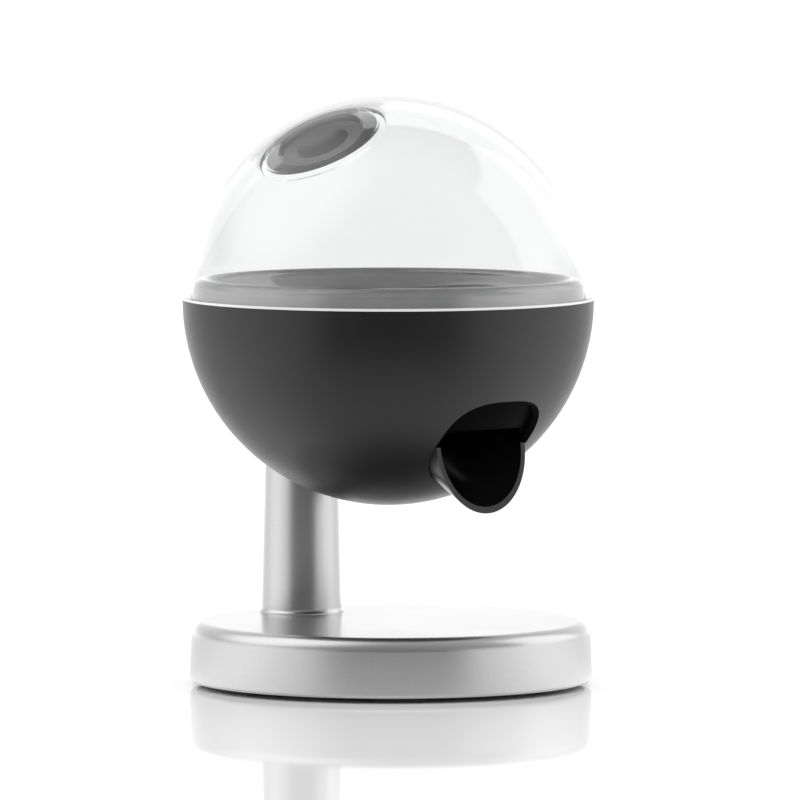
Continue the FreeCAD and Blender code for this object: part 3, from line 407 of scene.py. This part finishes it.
def tools(nt):
    def math_(op, a, b=None, c=None):
        n = nt.nodes.new("ShaderNodeMath")
        n.operation = op
        for i, v in enumerate((a, b, c)):
            if v is None:
                continue
            if isinstance(v, (int, float)):
                n.inputs[i].default_value = v
            else:
                link(nt, v, n.inputs[i])
        return n.outputs[0]

    def step(v, a, b, lo=0.0, hi=1.0, kind="SMOOTHSTEP"):
        n = nt.nodes.new("ShaderNodeMapRange")
        n.interpolation_type = kind
        n.inputs[1].default_value, n.inputs[2].default_value = a, b
        n.inputs[3].default_value, n.inputs[4].default_value = lo, hi
        link(nt, v, n.inputs[0])
        return n.outputs[0]

    def dot_with(src, v):
        d = nt.nodes.new("ShaderNodeVectorMath")
        d.operation = "DOT_PRODUCT"
        d.inputs[1].default_value = tuple(v)
        link(nt, src, d.inputs[0])
        return d.outputs["Value"]
    return math_, step, dot_with


def mix(m_, f, a, b):
    """a where f is 0, b where f is 1"""
    return m_("ADD", m_("MULTIPLY", a, m_("SUBTRACT", 1.0, f)), m_("MULTIPLY", b, f))


FRONT0, FRONT1, SIDE = 28.0, 52.0, 76.0    # degrees either side of the front


def surround(math_, step, aaz, far):
    """brightness of the table and the low studio walls: dark straight in front, white at both sides and behind."""
    near = 0.78
    mid = mix(math_, far, near, 0.13)
    f1 = step(aaz, FRONT0 * D2R, FRONT1 * D2R)
    f2 = step(aaz, FRONT1 * D2R, SIDE * D2R)
    v = mix(math_, f1, mid, 1.0)
    v = math_("ADD", v, math_("MULTIPLY", f2, 0.30))
    v = math_("SUBTRACT", v, math_("MULTIPLY", step(aaz, 95 * D2R, 125 * D2R), 0.30))
    return math_("ADD", v, math_("MULTIPLY", step(aaz, 140 * D2R, 165 * D2R), 0.56))


nt = w.node_tree
nt.nodes.clear()
wo = nt.nodes.new("ShaderNodeOutputWorld")
tc = nt.nodes.new("ShaderNodeTexCoord")
math_, step, dot_with = tools(nt)
gen = tc.outputs["Generated"]
da, db, du = dot_with(gen, RIGHT), dot_with(gen, BACK), dot_with(gen, UP)
az = math_("ARCTAN2", da, db)                     # 0 is straight in front of the object, + to the right
aaz = math_("ABSOLUTE", math_("SUBTRACT", az, 2.5 * D2R))
low = surround(math_, step, aaz, 1.0)
# upper directions: dim in front, brighter overhead and behind, one tall soft panel at the right
hc = nt.nodes.new("ShaderNodeFloatCurve")
link(nt, math_("MULTIPLY_ADD", db, 0.5, 0.5), hc.inputs["Value"])
cv = hc.mapping.curves[0]
pts = [(0.0, 1.05), (0.067, 0.92), (0.25, 0.58), (0.5, 0.56), (0.75, 0.42), (1.0, 0.24)]
cv.points[0].location, cv.points[1].location = pts[0], pts[-1]
for p_ in pts[1:-1]:
    cv.points.new(*p_)
hc.mapping.update()
high = hc.outputs[0]
pan = math_("MULTIPLY", step(az, 84.0 * D2R, 86.0 * D2R), math_("SUBTRACT", 1.0, step(az, 137 * D2R, 140 * D2R)))
pan = math_("MULTIPLY", pan, math_("SUBTRACT", 1.0, step(du, 0.76, 0.80)))
high = math_("ADD", high, math_("MULTIPLY", pan, 1.0))
top_left = dot_with(gen, (0.0 * BACK - 0.68 * RIGHT + 0.73 * UP).normalized())
high = math_("ADD", high, math_("MULTIPLY", step(top_left, 0.72, 0.95), 1.0))
split = step(du, 0.03, 0.26)
env = mix(math_, split, low, high)
lp = nt.nodes.new("ShaderNodeLightPath")
after_gloss = math_("GREATER_THAN", lp.outputs["Glossy Depth"], 0.5)
after_diff = math_("GREATER_THAN", lp.outputs["Diffuse Depth"], 0.5)
val = mix(math_, after_gloss, 0.99, env)
val = mix(math_, after_diff, val, 1.0)
bg = N(nt, "ShaderNodeBackground")
bg.inputs["Color"].default_value = (1, 1, 1, 1)
link(nt, val, bg.inputs["Strength"])
link(nt, bg.outputs[0], wo.inputs["Surface"])

# floor: white glossy sheet; what the object mirrors of it is dim in front and bright at the sides
fl_m, nt2, out2 = mat("pale_floor")
fl_m.cycles.emission_sampling = "NONE"
math2, step2, dot2 = tools(nt2)
ob = nt2.nodes.new("ShaderNodeTexCoord").outputs["Object"]
xa, xb = dot2(ob, RIGHT), dot2(ob, BACK)
aaz2 = math2("ABSOLUTE", math2("SUBTRACT", math2("ARCTAN2", xa, xb), 2.5 * D2R))
rad = math2("SQRT", math2("ADD", math2("MULTIPLY", xa, xa), math2("MULTIPLY", xb, xb)))
far = step2(rad, 0.13, 0.33)
lev = surround(math2, step2, aaz2, far)
# painted shadow: the emission that reflections and bounced light see drops to 0.02 under the base, rising to full
# between 50 and 68 mm from the centre
lev = math2("MULTIPLY", lev, step2(rad, 0.050, 0.068, 0.02, 1.0))
em = N(nt2, "ShaderNodeEmission")
link(nt2, lev, em.inputs["Strength"])
df = nt2.nodes.new("ShaderNodeBsdfDiffuse")
df.inputs["Color"].default_value = (0.66, 0.66, 0.66, 1)
gl = N(nt2, "ShaderNodeBsdfGlossy", Roughness=0.05)
gl.inputs["Color"].default_value = (0.326, 0.326, 0.326, 1)
add = nt2.nodes.new("ShaderNodeAddShader")
link(nt2, df.outputs[0], add.inputs[0]); link(nt2, gl.outputs[0], add.inputs[1])
lp2 = nt2.nodes.new("ShaderNodeLightPath")
bounce = math2("MINIMUM", math2("ADD", lp2.outputs["Glossy Depth"], lp2.outputs["Diffuse Depth"]), 1.0)
mx2 = nt2.nodes.new("ShaderNodeMixShader")
link(nt2, bounce, mx2.inputs[0])
link(nt2, add.outputs[0], mx2.inputs[1])
link(nt2, em.outputs[0], mx2.inputs[2])
# seen through the clear dome the ground reads as an even, slightly greyer field
behind = math2("MULTIPLY", math2("MINIMUM", lp2.outputs["Transmission Depth"], 1.0), math2("SUBTRACT", 1.0, bounce))
em3 = N(nt2, "ShaderNodeEmission", Strength=0.99)
mx3 = nt2.nodes.new("ShaderNodeMixShader")
link(nt2, behind, mx3.inputs[0])
link(nt2, mx2.outputs[0], mx3.inputs[1])
link(nt2, em3.outputs[0], mx3.inputs[2])
link(nt2, mx3.outputs[0], out2.inputs["Surface"])
fm = bpy.data.meshes.new("floor")
fm.from_pydata([(-6, -6, 0), (6, -6, 0), (6, 6, 0), (-6, 6, 0)], [], [(0, 1, 2, 3)])
fm.materials.append(fl_m)
floor = bpy.data.objects.new("floor", fm)
S.collection.objects.link(floor)
